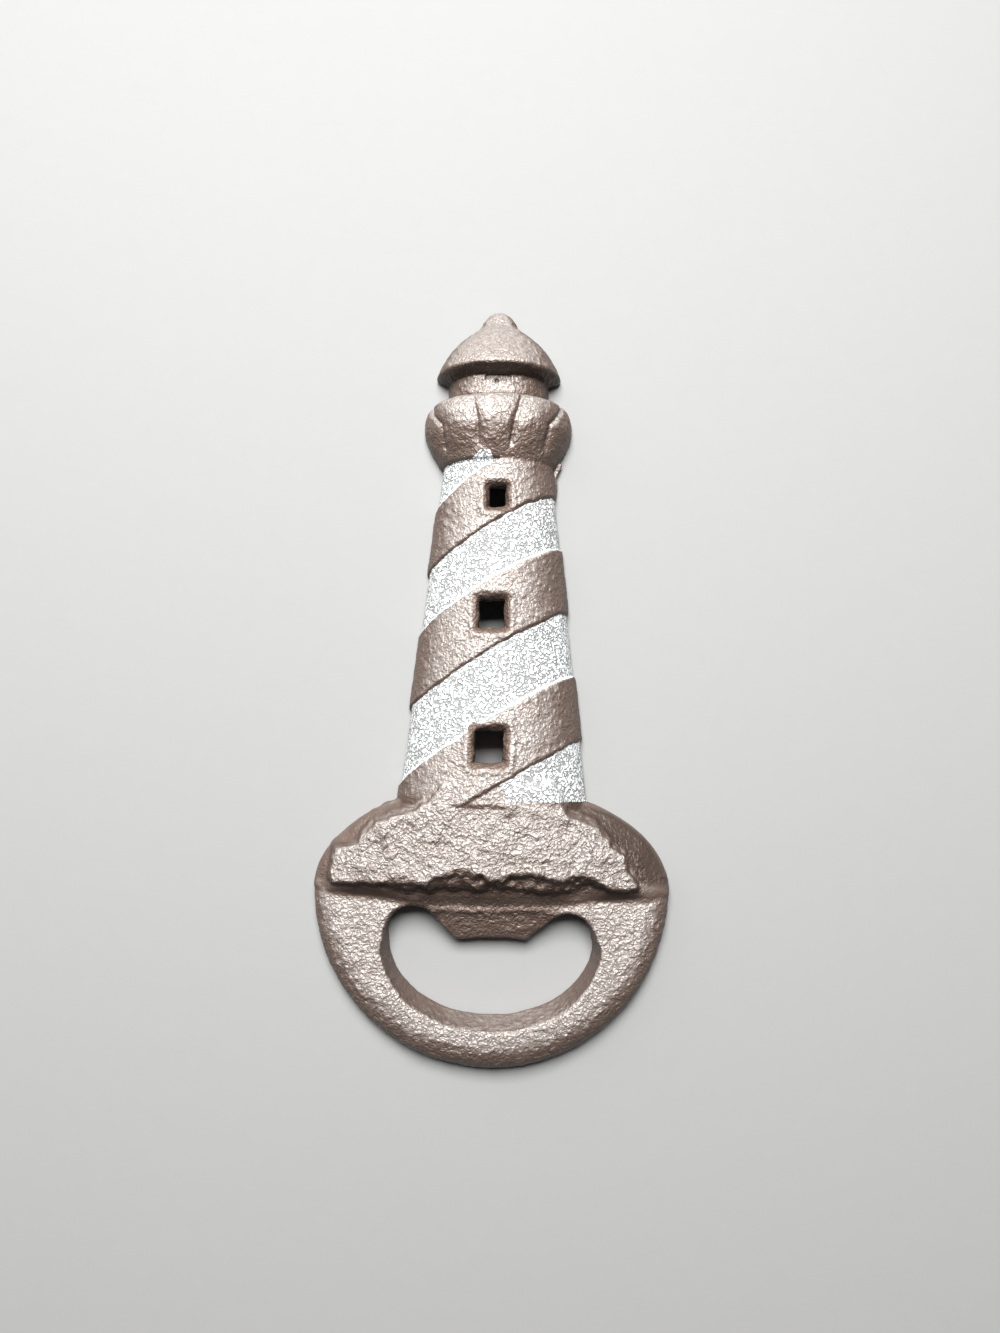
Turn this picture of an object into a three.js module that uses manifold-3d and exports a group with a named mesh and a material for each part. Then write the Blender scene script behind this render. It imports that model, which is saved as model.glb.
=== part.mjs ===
// Souvenir bottle opener in cast iron: a striped lighthouse on a rock, with the opener ring below.
// Millimetres. The flat back lies on Z = 0 and the front faces +Z, +Y runs up the tower to the
// finial and +X is to the right. Heights are counted from the foot of the ring, and the whole is
// centred on the origin at the end.
import * as THREE from "three";
import { mergeVertices } from "three/addons/utils/BufferGeometryUtils.js";
import Module from "manifold-3d";

const wasm = await Module();
wasm.setup();

// ---- driving dimensions ----
const LENGTH = 152; // foot of the ring to the tip of the finial
const ARC_STEPS = 24; // faces in half a turn
const REACH = 200; // side of a trimming block, larger than the whole part

// The plate is the flat casting that carries both the ring and the rock.
const PLATE = { half: 35, centre: 33.8, below: 33.8, above: 20.8 };
// Levels of the plate's rounded edge: [height off the back, how far the edge is drawn in].
const PLATE_EDGE = [
  [0, 0.9],
  [1, 0],
  [3.6, 0],
  [5.2, 0.9],
  [6.1, 2.3],
  [6.5, 4.2],
];
const MOUTH = { centre: 23.8, half: 19.8, below: 13.9, above: 1.2, draft: 1.6 };
const LOBES = [
  { x: -15, y: 25.5, radius: 5 },
  { x: 14.7, y: 24.5, radius: 4.8 },
];
const RING_TOP = 31.8; // the ring meets the rock here
const LIP = { rootHalf: 12.2, tipHalf: 7.2, root: 28.4, tip: 24.3, dip: 0.45 };
const LIP_THICKNESS = { root: 5.6, tip: 3.6 };

const TOWER = { foot: 50.6, top: 118.8, footHalf: 19.1, topHalf: 11.5, footBulge: 13.4, topBulge: 10 };
const WALL = 3;
const HOLLOW = { low: 54.5, high: 116 };
// White stripes lie in shallow recesses between slanting planes, given by their heights at the axis.
const SLANT = { rise: 0.622, lean: 0.132 };
const RECESS = 0.6;
const PAINT = { thickness: 0.3, gap: 0.05, hem: 0.7 };
const STRIPES = {
  white_stripe_1: [116.3, 160],
  white_stripe_2: [92.6, 104.2],
  white_stripe_3: [65.2, 78.9],
  white_stripe_4: [10, 51.7],
};
const WINDOW_DRAFT = 0.95; // how much narrower each side gets through the wall
const WINDOW_CORNER = 1.2;
const WINDOWS = [
  { x: -0.1, y: 110.7, width: 5.4, height: 6.2 },
  { x: -0.8, y: 87.4, width: 7.1, height: 7.9 },
  { x: -1.0, y: 61.7, width: 7.1, height: 8.1 },
];

// Half-round sections up the lighthouse: [height, half width, bulge].
const GALLERY = [
  [118.8, 11.9, 10.3],
  [120.9, 12.9, 11.1],
  [123, 14, 11.9],
  [125, 14.8, 12.5],
  [127.3, 14.9, 12.6],
  [129.4, 14.4, 12.2],
  [130.7, 13.3, 11.3],
  [131.4, 12.3, 10.4],
];
const RIB = { angles: [-55, -18, 19, 57], depth: 0.8, halfAngle: 4 };
const LANTERN = [
  [131.4, 10.35, 8.7],
  [135.9, 10.35, 8.7],
];
const PANE = { width: 5.2, low: 132, high: 135.4, depth: 0.5 };
const ROOF = [
  [135.9, 10.4, 8.75],
  [137.8, 12.2, 10.4],
  [138.5, 12.4, 10.5],
  [140.3, 11.7, 9.9],
  [142.4, 10.6, 8.8],
  [144.7, 9.1, 7.6],
  [146.8, 6.9, 5.9],
  [148.5, 4.6, 4.1],
];
const FINIAL = [
  [148.5, 4, 3.6],
  [149.6, 3.3, 3],
  [150.8, 2.4, 2.2],
  [151.6, 1.5, 1.4],
  [LENGTH, 0.6, 0.6],
];

// The crag rises from the plate in two tiers. Each outline runs along the broken edge over the
// ring from left to right, and the two share the shoulders behind it.
const LEDGE = [
  [-31.6, 33.6],
  [-24.4, 35],
  [-17, 35.4],
  [-11, 34.9],
  [-5, 34.3],
  [1.4, 34.6],
  [6, 33.3],
  [10, 32.8],
  [15, 33.6],
  [21, 34],
  [27.3, 32.3],
];
const BROW = [
  [-30.2, 35.4],
  [-24.1, 35.6],
  [-18, 35.9],
  [-12, 35.9],
  [-7.5, 38.2],
  [-2.6, 37.2],
  [3, 37],
  [7.2, 38],
  [12, 36.7],
  [18, 37.2],
  [25, 34.9],
];
const SHOULDER = [
  [27, 38],
  [26.4, 41.3],
  [23, 42.8],
  [20.6, 45.4],
  [15, 52],
  [0, 54],
  [-15, 52],
  [-22.3, 46.8],
  [-26, 42.8],
  [-30, 41],
];
const LEDGE_TOP = 8.6; // height of the lower tier
const CRAG_TOP = 12.4; // height of the upper tier at its middle
const CRAG_FALL = 0.0034; // drop of the upper tier per square millimetre away from the middle
const CRAG_ROUND = 0.93; // the upper tier's top outline as a share of its foot
const CRAG_CENTRE = [0, 44];
const CRAG_CHIP = 0.35; // how far alternate corners of the crag stand up and down

// ---- materials ----
const bronzePaint = new THREE.MeshStandardMaterial({ color: 0x6f574b, roughness: 0.5, metalness: 0.6 });
const whitePaint = new THREE.MeshStandardMaterial({ color: 0xe9eeec, roughness: 0.7, metalness: 0 });

// ---- geometry helpers ----
const point = (x, y, z) => new THREE.Vector3(x, y, z);

// A solid through a row of closed rings with equal numbers of points, capped with a fan at each end.
function loft(rings) {
  const count = rings[0].length;
  const points = rings.flat();
  const index = [];
  for (let k = 0; k < rings.length - 1; k++) {
    for (let i = 0; i < count; i++) {
      const a = k * count + i;
      const b = k * count + ((i + 1) % count);
      index.push(a, b, b + count, a, b + count, a + count);
    }
  }
  const last = (rings.length - 1) * count;
  points.push(middle(rings[0]), middle(rings[rings.length - 1]));
  for (let i = 0; i < count; i++) {
    const next = (i + 1) % count;
    index.push(points.length - 2, next, i);
    index.push(points.length - 1, last + i, last + next);
  }
  const geometry = new THREE.BufferGeometry().setFromPoints(points);
  geometry.setIndex(index);
  return solid(geometry);
}

function middle(ring) {
  const sum = ring.reduce((total, p) => total.add(p), point(0, 0, 0));
  return sum.divideScalar(ring.length);
}

// Turn a closed three.js geometry into a solid that can be cut and joined.
function solid(source) {
  const bare = source.clone();
  bare.deleteAttribute("normal");
  bare.deleteAttribute("uv");
  const merged = mergeVertices(bare, 1e-4);
  const vertProperties = new Float32Array(merged.attributes.position.array);
  const triVerts = new Uint32Array(merged.index.array);
  return new wasm.Manifold(new wasm.Mesh({ numProp: 3, vertProperties, triVerts }));
}

function box(x0, x1, y0, y1, z0, z1) {
  const geometry = new THREE.BoxGeometry(x1 - x0, y1 - y0, z1 - z0);
  geometry.translate((x0 + x1) / 2, (y0 + y1) / 2, (z0 + z1) / 2);
  return solid(geometry);
}

function mesh(name, body, material) {
  const made = body.getMesh();
  const geometry = new THREE.BufferGeometry();
  geometry.setAttribute("position", new THREE.BufferAttribute(made.vertProperties, 3));
  geometry.setIndex(new THREE.BufferAttribute(made.triVerts, 1));
  geometry.computeVertexNormals();
  const result = new THREE.Mesh(geometry, material);
  result.name = name;
  return result;
}

// One upright half-round section with its flat side at z = back.
function halfRound(y, half, bulge, back = 0, ripple = () => 0) {
  const ring = [];
  for (let i = 0; i <= ARC_STEPS; i++) {
    const turn = (Math.PI * i) / ARC_STEPS;
    const out = 1 - ripple(turn) / half;
    ring.push(point(-half * out * Math.cos(turn), y, bulge * out * Math.sin(turn)));
  }
  if (back < 0) {
    ring.push(point(half, y, back), point(-half, y, back));
  }
  return ring;
}

// A half-round body through [height, half width, bulge] sections.
function halfRoundBody(sections) {
  return loft(sections.map(([y, half, bulge]) => halfRound(y, half, bulge)));
}

// ---- the plate: ring, lip and what lies under the rock ----

// Two half ellipses that share one width, drawn in by inset.
function plateOutline(z, inset) {
  const ring = [];
  for (let i = 0; i < 2 * ARC_STEPS; i++) {
    const turn = (Math.PI * i) / ARC_STEPS;
    const rise = Math.sin(turn) < 0 ? PLATE.below : PLATE.above;
    const x = (PLATE.half - inset) * Math.cos(turn);
    ring.push(point(x, PLATE.centre + (rise - inset) * Math.sin(turn), z));
  }
  return ring;
}

function plate() {
  return loft(PLATE_EDGE.map(([z, inset]) => plateOutline(z, inset)));
}

// The opening for the bottle's neck and cap, wider at the front than at the back.
function mouth() {
  const levels = [-1, 0, 6, 8].map((z) => {
    const ring = [];
    const open = (MOUTH.draft * z) / 6;
    for (let i = 0; i < 2 * ARC_STEPS; i++) {
      const turn = (Math.PI * i) / ARC_STEPS;
      const drop = Math.sin(turn) < 0 ? MOUTH.below + open : MOUTH.above;
      const x = (MOUTH.half + open * 0.7) * Math.cos(turn);
      ring.push(point(x, MOUTH.centre + drop * Math.sin(turn), z));
    }
    return ring;
  });
  return loft(levels);
}

function lobes() {
  const cutters = LOBES.map(({ x, y, radius }) => {
    const geometry = new THREE.CylinderGeometry(radius + 0.5, radius, 10, ARC_STEPS);
    geometry.rotateX(Math.PI / 2).translate(x, y, 4);
    return solid(geometry);
  });
  return cutters[0].add(cutters[1]);
}

function openerRing() {
  const below = box(-REACH, REACH, -REACH, RING_TOP, -REACH, REACH);
  const lipRoom = box(-LIP.rootHalf, LIP.rootHalf, MOUTH.centre, LIP.root, -1, 10);
  return plate().intersect(below).subtract(mouth()).subtract(lobes()).subtract(lipRoom);
}

// The blunt tooth that catches the crown cap, thinning towards its tip.
function capLip() {
  const outline = [
    [-LIP.rootHalf, LIP.root],
    [-LIP.tipHalf - 0.5, LIP.tip + 0.3],
    [-LIP.tipHalf, LIP.tip],
    [-LIP.tipHalf / 2, LIP.tip + LIP.dip],
    [LIP.tipHalf / 2, LIP.tip + LIP.dip],
    [LIP.tipHalf, LIP.tip],
    [LIP.tipHalf + 0.5, LIP.tip + 0.3],
    [LIP.rootHalf, LIP.root],
  ];
  const slope = (LIP_THICKNESS.root - LIP_THICKNESS.tip) / (LIP.root - LIP.tip);
  const back = outline.map(([x, y]) => point(x, y, 0));
  const front = outline.map(([x, y]) => point(x, y, LIP_THICKNESS.tip + slope * (y - LIP.tip)));
  return loft([back, front]).subtract(lobes());
}

// ---- the rock ----

// One tier: an outline raised from inside the plate to a chipped top that falls to both sides.
function tier(outline, top, fall) {
  const [cx, cy] = CRAG_CENTRE;
  const level = (height, share, chip) =>
    outline.map(([x, y], i) => {
      const z = height - (chip ? fall * x * x + CRAG_CHIP * (i % 2 ? 1 : -1) : 0);
      return point(cx + (x - cx) * share, cy + (y - cy) * share, z);
    });
  return loft([level(3, 1, false), level(top - 1.2, 1, true), level(top, CRAG_ROUND, true)]);
}

function crag() {
  const lower = tier([...LEDGE, ...SHOULDER], LEDGE_TOP, 0.0005);
  return lower.add(tier([...BROW, ...SHOULDER], CRAG_TOP, CRAG_FALL));
}

function rockBase() {
  const seat = box(-REACH, REACH, RING_TOP, TOWER.foot, 0, REACH);
  return plate().add(crag()).intersect(seat);
}

// ---- the tower ----

// The tapered half-round tower drawn in by inset, between two heights.
function towerBody(inset, low = TOWER.foot, high = TOWER.top, back = 0) {
  const rings = [low, high].map((y) => {
    const part = (y - TOWER.foot) / (TOWER.top - TOWER.foot);
    const half = THREE.MathUtils.lerp(TOWER.footHalf, TOWER.topHalf, part);
    const bulge = THREE.MathUtils.lerp(TOWER.footBulge, TOWER.topBulge, part);
    return halfRound(y, half - inset, bulge - inset, back);
  });
  return loft(rings);
}

// The slab of space between two slanting planes that cross the tower's axis at low and high.
function slantingSlab(low, high) {
  const level = (base) =>
    [
      [-30, -5],
      [-30, 30],
      [30, 30],
      [30, -5],
    ].map(([x, z]) => point(x, base + SLANT.rise * x + SLANT.lean * z, z));
  return loft([level(low), level(high)]);
}

function windowCutter({ x, y, width, height }) {
  const part = (y - TOWER.foot) / (TOWER.top - TOWER.foot);
  const front = THREE.MathUtils.lerp(TOWER.footBulge, TOWER.topBulge, part);
  const frame = (inset, z) => {
    const w = width / 2 - inset;
    const h = height / 2 - inset;
    const c = WINDOW_CORNER;
    const corners = [
      [w, h - c],
      [w - c * 0.3, h - c * 0.3],
      [w - c, h],
      [c - w, h],
      [c * 0.3 - w, h - c * 0.3],
      [-w, h - c],
      [-w, c - h],
      [c * 0.3 - w, c * 0.3 - h],
      [c - w, -h],
      [w - c, -h],
      [w - c * 0.3, c * 0.3 - h],
      [w, c - h],
    ];
    return corners.map(([dx, dy]) => point(x + dx, y + dy, z));
  };
  return loft([frame(WINDOW_DRAFT, -2), frame(WINDOW_DRAFT, front - WALL), frame(0, front), frame(0, front + 3)]);
}

const windowCutters = WINDOWS.map(windowCutter).reduce((all, next) => all.add(next));

// The hollow wall: brown bands at full size, with recesses for the white between them.
function towerWall() {
  const core = towerBody(RECESS, TOWER.foot - 1, TOWER.top + 1, -2);
  const hollow = towerBody(WALL, HOLLOW.low, HOLLOW.high, -2);
  let wall = towerBody(0);
  for (const [low, high] of Object.values(STRIPES)) {
    wall = wall.subtract(slantingSlab(low, high).subtract(core));
  }
  return wall.subtract(hollow).subtract(windowCutters);
}

function whiteStripe(low, high) {
  const { thickness, gap, hem } = PAINT;
  const outer = towerBody(RECESS - gap - thickness, TOWER.foot + gap, TOWER.top - gap);
  const layer = outer.subtract(towerBody(RECESS - gap, TOWER.foot - 1, TOWER.top + 1, -2));
  const above = box(-REACH, REACH, -REACH, REACH, hem, REACH);
  return layer.intersect(slantingSlab(low + gap, high - gap)).intersect(above).subtract(windowCutters);
}

// ---- gallery, lantern, roof and finial ----

// How far the gallery's ribs are parted by a groove at a given turn round the bowl.
function grooveDepth(turn) {
  const angle = THREE.MathUtils.radToDeg(turn) - 90;
  const nearest = Math.min(...RIB.angles.map((at) => Math.abs(angle - at)));
  return RIB.depth * Math.max(0, 1 - nearest / (2 * RIB.halfAngle));
}

function gallery() {
  return loft(GALLERY.map(([y, half, bulge]) => halfRound(y, half, bulge, 0, grooveDepth)));
}

function lanternRoom() {
  const front = LANTERN[0][2];
  const pane = box(-PANE.width / 2, PANE.width / 2, PANE.low, PANE.high, front - PANE.depth, front + 2);
  return halfRoundBody(LANTERN).subtract(pane);
}

// ---- assembly ----
const opener = new THREE.Group();
opener.name = "bottle_opener";
opener.add(mesh("opener_ring", openerRing(), bronzePaint));
opener.add(mesh("cap_lip", capLip(), bronzePaint));
opener.add(mesh("rock_base", rockBase(), bronzePaint));
opener.add(mesh("tower_wall", towerWall(), bronzePaint));
for (const [name, [low, high]] of Object.entries(STRIPES)) {
  opener.add(mesh(name, whiteStripe(low, high), whitePaint));
}
opener.add(mesh("gallery", gallery(), bronzePaint));
opener.add(mesh("lantern_room", lanternRoom(), bronzePaint));
opener.add(mesh("roof", halfRoundBody(ROOF), bronzePaint));
opener.add(mesh("finial", halfRoundBody(FINIAL), bronzePaint));
opener.position.y = -LENGTH / 2;

export default opener;
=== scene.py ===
"""A cast-iron souvenir bottle opener: a striped lighthouse on a rock with the opener ring below.

The whole casting is poured once as a fine skin round a solid described by distances, given its
sand-cast grain with Geometry Nodes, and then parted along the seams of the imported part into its
named regions. The white stripes are thin skins of paint laid on the low ground of the tower.
Design sizes are in millimetres: x across, y up from the foot of the ring, z out of the flat back.
"""

import math

import bpy
import numpy as np
from mathutils import Matrix, Vector
from mathutils.geometry import delaunay_2d_cdt


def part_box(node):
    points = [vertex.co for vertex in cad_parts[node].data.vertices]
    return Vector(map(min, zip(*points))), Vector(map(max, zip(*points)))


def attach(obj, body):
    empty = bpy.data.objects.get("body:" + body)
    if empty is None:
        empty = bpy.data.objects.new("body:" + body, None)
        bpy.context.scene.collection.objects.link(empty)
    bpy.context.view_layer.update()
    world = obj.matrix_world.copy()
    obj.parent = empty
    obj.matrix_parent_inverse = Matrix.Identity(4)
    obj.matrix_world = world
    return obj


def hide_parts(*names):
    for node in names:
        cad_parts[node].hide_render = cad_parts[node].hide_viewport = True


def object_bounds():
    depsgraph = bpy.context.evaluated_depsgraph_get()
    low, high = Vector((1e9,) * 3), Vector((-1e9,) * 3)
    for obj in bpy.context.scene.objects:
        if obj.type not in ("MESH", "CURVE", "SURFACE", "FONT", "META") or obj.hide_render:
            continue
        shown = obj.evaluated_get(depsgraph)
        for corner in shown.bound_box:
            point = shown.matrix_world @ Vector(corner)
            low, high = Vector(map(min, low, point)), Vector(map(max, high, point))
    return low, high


bl_info = {
    "name": "Lighthouse Bottle Opener",
    "version": (1, 0, 0),
    "blender": (4, 5, 0),
    "location": "3D View > Sidebar > Opener",
    "description": "Builds a cast-iron lighthouse bottle opener and a plain studio round it",
    "category": "Add Mesh",
}

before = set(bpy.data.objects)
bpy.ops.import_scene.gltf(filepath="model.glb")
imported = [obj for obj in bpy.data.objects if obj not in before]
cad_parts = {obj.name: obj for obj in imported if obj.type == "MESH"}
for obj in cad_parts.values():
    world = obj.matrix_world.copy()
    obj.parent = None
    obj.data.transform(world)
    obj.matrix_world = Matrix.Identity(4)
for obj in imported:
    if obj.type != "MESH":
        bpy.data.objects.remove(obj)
CAD_BOX = [list(corner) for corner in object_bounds()]

MM = 0.001
FOOT = CAD_BOX[0][1] / MM  # the ring's foot in the frame, from which design heights are counted


def seam(node):
    """The design height at which a region of the casting ends."""
    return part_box(node)[1][1] / MM - FOOT


LIP_TOP = seam("cap_lip")
RING_TOP = seam("opener_ring")
ROCK_TOP = seam("rock_base")
TOWER_TOP = seam("tower_wall")
GALLERY_TOP = seam("gallery")
LANTERN_TOP = seam("lantern_room")
ROOF_TOP = seam("roof")
TIP = seam("finial")

# ---- the opener's shape ----

PLATE = {"half": 34.5, "centre": 33.8, "below": 33.8, "above": 20.1}
MOUTH = {"half": 19.8, "centre": 23.8, "below": 14.2}
LOBES = [(-15.0, 25.5, 5.0), (14.7, 24.5, 4.8)]
LIP = {"half": 7.2, "tip": 23.8, "dip": 0.45, "tip_height": 3.6, "slope": 0.46}

# The rock's sloping face over the ring: the line of its foot, then the brow that it climbs to.
FACE_FOOT = [
    (-35, 34.2), (-29, 34.0), (-21.7, 33.5), (-14.5, 32.0), (-7.2, 32.3), (0, 32.1), (7.2, 32.2),
    (14.5, 32.4), (21.7, 33.2), (29, 33.6), (35, 33.4),
]
FACE_ROOT = 5.9  # height of the face's foot off the back
MOUNDS = [(-5.6, 3.9), (9.2, 4.4)]  # middle and half width of the two swellings on the face
BROW = [
    (-35, 35.0), (-30.1, 35.2), (-24.1, 35.6), (-19.4, 35.9), (-12.2, 35.9), (-10.8, 36.7),
    (-7.4, 38.3), (-5.0, 38.1), (-2.6, 37.2), (1.4, 36.8), (3.6, 37.3), (7.2, 38.0), (11.0, 36.9),
    (13.9, 36.7), (16.8, 37.6), (19.2, 36.8), (21.6, 35.4), (24.7, 34.9), (35, 34.0),
]
# The shoulders behind the brow, from right to left over the top.
SHOULDER = [
    (29.0, 33.0), (27.4, 35.8), (25.9, 38.5), (24.9, 41.2), (22.9, 42.9), (21.3, 44.9), (19.4, 46.9),
    (14.5, 49.0), (12, 55), (-10, 55), (-12.6, 51), (-15, 49.4), (-18.4, 48.4), (-22.3, 46.9),
    (-24.6, 44.5), (-25.8, 42.8), (-27.5, 41.6), (-29.6, 41.2), (-30.4, 38.5), (-30.9, 33.0),
]

TOWER = {"foot_half": 19.1, "top_half": 11.5, "foot_bulge": 13.3, "top_bulge": 10.0}
HOLLOW = (54.5, 116.0)
SLANT = (0.622, 0.132)  # rise of a stripe's edge per unit across and per unit of bulge
STRIPES = {
    "white_stripe_1": (116.3, 160.0),
    "white_stripe_2": (92.6, 104.2),
    "white_stripe_3": (65.2, 78.9),
    "white_stripe_4": (20.0, 51.7),
}
# Each window's middle, width and height at the face of the tower.
WINDOWS = [(0.1, 110.1, 5.7, 6.5), (-0.6, 86.7, 7.4, 8.1), (-0.8, 61.1, 8.0, 8.6)]
WINDOW_CORNER = 1.2  # radius of a window's corners
BEVEL = {"deep": 1.2, "wide": 1.3}  # the slope from a window's outer outline to its hole
# A small fin of flash left on the casting under the gallery.
FIN = [(11, 112.5), (12.3, 113.5), (12.2, 116.5), (13.4, 119.4), (11, 119.4)]
FIN_LEVEL = (1.2, 0.35)  # its middle height off the back, and half its thickness

# Half-round sections: height, half width, bulge.
GALLERY = [
    (118.0, 11.8, 10.2), (120.0, 12.8, 11.0), (122.3, 13.95, 11.9), (124.5, 14.8, 12.55),
    (126.7, 14.95, 12.7), (128.9, 14.6, 12.35), (130.3, 13.8, 11.6), (131.0, 12.5, 10.4),
]
LANTERN = [(130.5, 10.35, 8.7), (136.2, 10.35, 8.7)]
ROOF = [
    (135.5, 10.2, 8.8), (135.9, 11.3, 10.1), (136.4, 12.35, 11.4), (137.0, 12.8, 11.9),
    (137.9, 12.55, 11.6), (140.0, 11.6, 10.5), (142.0, 10.4, 9.2), (143.5, 9.25, 8.1),
    (145.0, 7.8, 6.8), (146.6, 5.95, 5.2), (147.7, 4.5, 4.0), (148.2, 4.05, 3.6),
    (149.2, 3.6, 3.2), (150.3, 2.85, 2.6), (151.3, 1.8, 1.7), (152.1, 0.3, 0.3),
]
# Each groove's turn round the gallery at its top, middle and foot, then its depth and width.
GROOVES = [
    (-78, -50, -58, 0.5, 2.3), (-22, -16, -18, 0.34, 1.5), (21, 13.5, 11, 0.7, 1.8),
    (70, 45, 48, 0.5, 3.0),
]
PANE = (-2.6, 2.4, 132.0, 135.6)  # left, right, low and high sides of the lantern room's pane
PANE_DOT = (-0.3, 134.2, 0.4)  # middle and radius of the small hole in the pane

SKIN_STEP = 0.3  # spacing of the fine skin
PAINTED_LIGHT_FROM = (-0.1, 0.48, 0.87)  # direction of the painted light, from the front and above: faces turned toward it get the bright flakes

# ---- the studio, in metres ----

KEY_PLACE, KEY_SIZE = (-0.025, 0.305, 0.58), 0.35
FILL_PLACE, FILL_SIZE = (-0.4, 0.42, 0.34), 0.4
SURROUND = (0.94, 0.97, 1.0, 1)
FLOOR_HALF = 1.5
VIEW_CENTRE = (0.00105, 0.0016, 0)

poured = {}  # the skin and the two paints, once the casting is poured


# ---- settings ----


def length(name, description, default, low, high):
    """A length property in metres."""
    return bpy.props.FloatProperty(
        name=name, description=description, default=default, min=low, max=high,
        unit="LENGTH", subtype="DISTANCE", precision=5,
    )


def colour(name, description, default):
    """A linear colour property."""
    return bpy.props.FloatVectorProperty(
        name=name, description=description, default=default, size=4, min=0, max=1, subtype="COLOR"
    )


def angle(name, description, degrees):
    """An angle property."""
    return bpy.props.FloatProperty(
        name=name, description=description, default=math.radians(degrees),
        subtype="ANGLE", unit="ROTATION",
    )


def power(name, description, default):
    """A light's power, in watts."""
    return bpy.props.FloatProperty(name=name, description=description, default=default, unit="POWER")


class OpenerCastingSettings(bpy.types.PropertyGroup):
    """Sizes of the casting."""

    plate_thickness: length("Plate thickness", "Thickness of the ring", 0.0065, 0.004, 0.009)
    edge_width: length("Edge width", "How far in the ring's edge is rounded", 0.0056, 0.002, 0.008)
    edge_height: length("Edge height", "How far down its edge is rounded", 0.0048, 0.002, 0.006)
    wall: length("Tower wall", "Thickness of the tower's hollow wall", 0.003, 0.0015, 0.005)
    crag_height: length("Crag height", "Height of the rock at its middle", 0.0123, 0.009, 0.013)
    band_relief: length("Band relief", "How far the brown bands stand proud", 0.0006, 0, 0.001)
    grain_depth: length("Grain depth", "Depth of the sand-cast grain", 0.00022, 0, 0.0006)
    grain_size: length("Grain size", "Size of the sand-cast grain", 0.0011, 0.0005, 0.005)


class OpenerPaintSettings(bpy.types.PropertyGroup):
    """Colours of the paint."""

    bronze: colour("Brown paint", "Brown paint over the casting", (0.15, 0.103, 0.082, 1))
    # painted highlight, in part: this light colour of the metal flakes is laid on faces turned toward
    # the light and on the grain's tops
    flake_highlight: colour("Metal flakes", "Bright flakes in the brown paint", (0.45, 0.405, 0.376, 1))
    # painted shade: this dark colour is laid on faces turned away from the light, in the hollow at the
    # rock's foot, on the lip's slope, in the window walls and on the flanks
    shade: colour("Bare undersides", "Dark paint where no flakes reach", (0.065, 0.044, 0.035, 1))
    white: colour("White paint", "Paint of the stripes", (0.86, 0.88, 0.88, 1))
    pit: colour("Pits in the white", "Grey metal that shows through the white", (0.28, 0.28, 0.27, 1))
    thickness: length("Paint thickness", "Thickness of the white paint", 0.0001, 0.00003, 0.0004)


class OpenerStageSettings(bpy.types.PropertyGroup):
    """The plain studio."""

    floor: colour("Floor", "Pale floor", (0.33, 0.33, 0.325, 1))
    lens: bpy.props.FloatProperty(
        name="Lens", description="Focal length", default=0.027, unit="CAMERA",
        subtype="DISTANCE_CAMERA",
    )
    distance: length("Camera distance", "From the camera to the table", 0.2021, 0.1, 1.0)
    tilt: angle("Tilt", "Lean of the view from straight down", 6)
    roll: angle("Roll", "Turn of the view round its own line", 0.8)
    key_power: power("Key light", "Power of the large overhead light", 10.2)
    fill_power: power("Fill light", "Power of the soft light on the far left", 1.2)
    world: bpy.props.FloatProperty(
        name="Surround", description="Strength of the even surround", default=0.07
    )


# ---- distances ----


def ease(low, high, value):
    """0 below low, 1 above high and a smooth rise between; low may be the greater."""
    t = np.clip((value - low) / (high - low), 0, 1)
    return t * t * (3 - 2 * t)


def oval_gap(u, v, a, b):
    """Signed distance, near the edge, to an ellipse with half axes a and b."""
    near = np.hypot(u / a, v / b)
    slope = np.hypot(u / (a * a), v / (b * b))
    return near * (near - 1) / np.maximum(slope, 1e-4)


def outline_gap(x, y, corners):
    """Signed distance to a closed outline, negative inside."""
    px = np.array([c[0] for c in corners], dtype=np.float32)
    py = np.array([c[1] for c in corners], dtype=np.float32)
    best = np.full(np.broadcast(x, y).shape, 1e9, dtype=np.float32)
    inside = np.zeros(best.shape, dtype=bool)
    for i in range(len(px)):
        ax, ay, bx, by = px[i - 1], py[i - 1], px[i], py[i]
        ex, ey = bx - ax, by - ay
        along = np.clip(((x - ax) * ex + (y - ay) * ey) / max(ex * ex + ey * ey, 1e-9), 0, 1)
        best = np.minimum(best, (x - ax - along * ex) ** 2 + (y - ay - along * ey) ** 2)
        crosses = ((ay > y) != (by > y)) & (x < ax + (y - ay) * ex / (ey if ey else 1e-9))
        inside ^= crosses
    gap = np.sqrt(best)
    return np.where(inside, -gap, gap)


def joined(a, b, radius):
    """Two solids joined with a fillet."""
    u = np.maximum(radius - a, 0)
    v = np.maximum(radius - b, 0)
    return np.maximum(radius, np.minimum(a, b)) - np.hypot(u, v)


def trimmed(a, b, radius):
    """Where two solids overlap, with the edge rounded."""
    u = np.maximum(radius + a, 0)
    v = np.maximum(radius + b, 0)
    return np.minimum(-radius, np.maximum(a, b)) + np.hypot(u, v)


def lattice(x, y, z, size, seed):
    """Smooth noise between -1 and 1 with features of one size."""
    table = np.random.RandomState(seed).uniform(-1, 1, (32, 32, 32)).astype(np.float32)
    x, y, z = np.broadcast_arrays(x / size, y / size, z / size)
    parts = []
    for value in (x, y, z):
        low = np.floor(value)
        t = value - low
        parts.append((low.astype(np.int32) & 31, t * t * (3 - 2 * t)))
    (ix, tx), (iy, ty), (iz, tz) = parts
    total = np.zeros(x.shape, dtype=np.float32)
    for dx in (0, 1):
        for dy in (0, 1):
            for dz in (0, 1):
                weight = (tx if dx else 1 - tx) * (ty if dy else 1 - ty) * (tz if dz else 1 - tz)
                total += weight * table[(ix + dx) & 31, (iy + dy) & 31, (iz + dz) & 31]
    return total


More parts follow.
